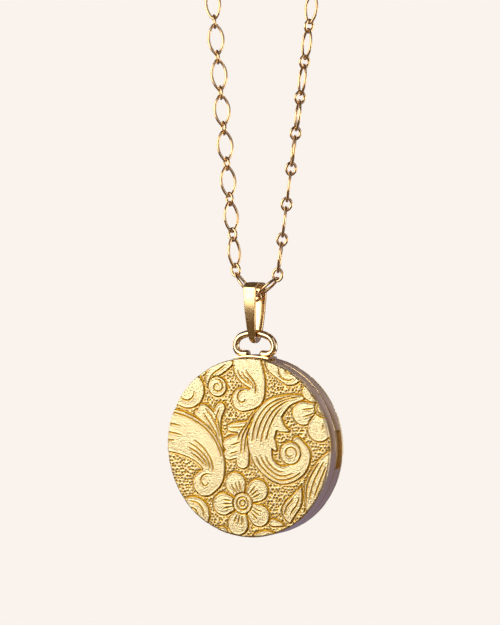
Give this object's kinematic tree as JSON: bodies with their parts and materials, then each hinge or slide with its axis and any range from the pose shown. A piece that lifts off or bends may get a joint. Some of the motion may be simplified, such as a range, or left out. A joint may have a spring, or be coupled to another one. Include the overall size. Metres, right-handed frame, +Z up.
{
  "type": "locket",
  "caption": "Round hinged locket with leafy scroll embossing, a polished rim with a nail notch, a tapered fold-over bail and a long-and-short link chain with a spring ring clasp.",
  "frame": {"origin": "where the chain hangs, on the underside of the clasp's ring, in the middle of the locket's thickness", "axes": "+Z up along the chain, -Y out of the front cover, +X towards the side that opens"},
  "size_m": [0.0257, 0.005, 0.0832],
  "materials": {
    "embossed_gold": "satin, stamped in relief",
    "polished_gold": "polished",
    "satin_gold": "fine satin",
    "chain_gold": "polished drawn wire",
    "clear_window": "clear",
    "picture_card": "matt",
    "spring_steel": "bright drawn wire"
  },
  "bodies": {
    "chain": {"bail_link": "chain_gold", "left_long_links": "chain_gold", "left_short_links": "chain_gold", "right_long_links": "chain_gold", "right_short_links": "chain_gold", "jump_ring": "chain_gold", "clasp_loop": "chain_gold", "clasp_ring": "polished_gold", "clasp_spring": "spring_steel", "end_ring": "chain_gold"},
    "bail": {"bail": "satin_gold"},
    "case": {"back_plate": "embossed_gold", "back_rim": "polished_gold", "inner_bezel": "polished_gold", "back_photo_frame": "polished_gold", "back_window": "clear_window", "back_photo": "picture_card", "back_knuckle": "polished_gold", "bow_saddle": "polished_gold", "bow": "polished_gold"},
    "lid": {"front_plate": "embossed_gold", "front_rim": "polished_gold", "front_photo_frame": "polished_gold", "front_window": "clear_window", "front_photo": "picture_card", "front_knuckle_upper": "polished_gold", "front_knuckle_lower": "polished_gold", "hinge_pin": "polished_gold"},
    "clasp_bolt": {"clasp_bolt": "polished_gold"}
  },
  "joints": [
    {"name": "bail_swing", "type": "hinge", "parent": "chain", "child": "bail", "pos_m": [0, 0, -0.04166], "axis": [0.9962, -0.0872, 0], "range_deg": [-12, 12]},
    {"name": "locket_swing", "type": "hinge", "parent": "bail", "child": "case", "pos_m": [0, 0, -0.04801], "axis": [1, 0, 0], "range_deg": [-80, 80]},
    {"name": "lid_hinge", "type": "hinge", "parent": "case", "child": "lid", "pos_m": [-0.01265, 0, -0.06391], "axis": [0, 0, -1], "range_deg": [0, 150]},
    {"name": "clasp_bolt_slide", "type": "hinge", "parent": "chain", "child": "clasp_bolt", "pos_m": [0.00233, -0.0002, 0.003], "axis": [-0.0872, -0.9962, 0], "range_deg": [0, 55], "stiffness_Nm_per_rad": 0.002, "springref_deg": -17.19, "deforming": ["clasp_spring"]}
  ]
}
